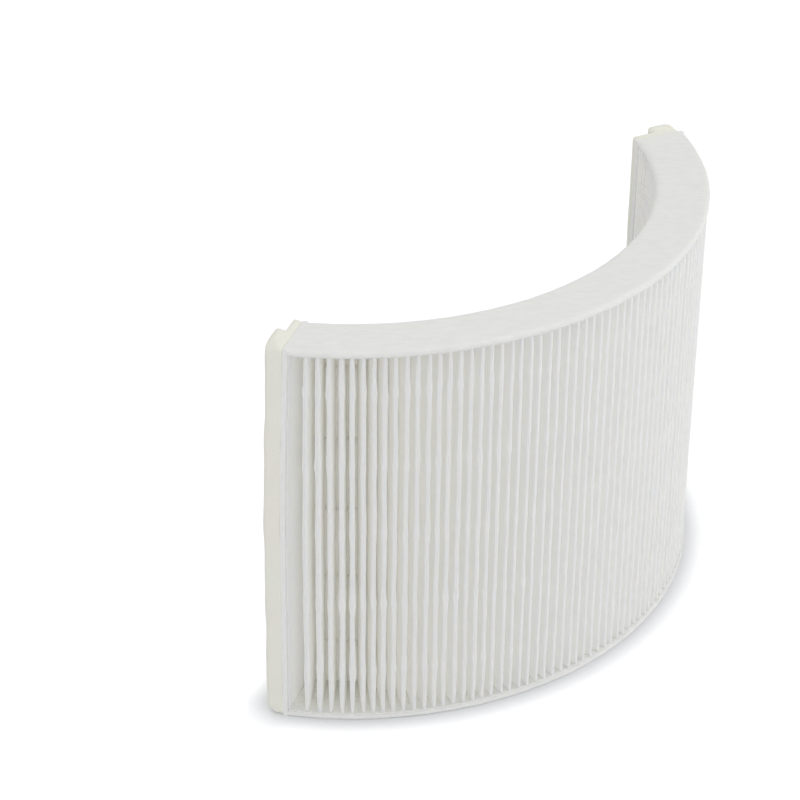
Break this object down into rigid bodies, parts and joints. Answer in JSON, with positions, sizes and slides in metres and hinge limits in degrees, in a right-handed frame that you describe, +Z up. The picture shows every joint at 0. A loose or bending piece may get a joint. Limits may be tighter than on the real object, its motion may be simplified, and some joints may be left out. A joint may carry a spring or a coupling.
{
  "type": "air purifier filter panel",
  "caption": "Curved panel of tall, thin filter pleats between felt end caps, with a stepped foam seal down each straight end.",
  "frame": {"origin": "under the middle of the panel's box, at the height of its lower end cap", "axes": "+X across the chord of the arc, -Y towards the outer, bulging face, +Z up along the pleats"},
  "size_m": [0.2708, 0.087, 0.18],
  "materials": {
    "filter_paper": "folded melt-blown and polyester filter paper, matt white",
    "felt": "needle-punched polyester felt, matt white",
    "potting_glue": "hot-melt potting glue, off-white",
    "bead_glue": "hot-melt bead, off-white, slightly see-through",
    "side_fleece": "stiff white fleece strip",
    "foam": "soft ivory sealing foam with fine closed pores"
  },
  "bodies": {
    "root": {"bottom_end_cap": "felt", "bottom_glue_bed": "potting_glue", "glue_bead_1": "bead_glue", "glue_bead_2": "bead_glue", "glue_bead_3": "bead_glue", "glue_bead_4": "bead_glue", "glue_bead_5": "bead_glue", "left_foam_base": "foam", "left_foam_lip": "foam", "left_side_board": "side_fleece", "pleated_paper": "filter_paper", "right_foam_base": "foam", "right_foam_lip": "foam", "right_side_board": "side_fleece", "top_end_cap": "felt", "top_glue_bed": "potting_glue"}
  },
  "joints": []
}
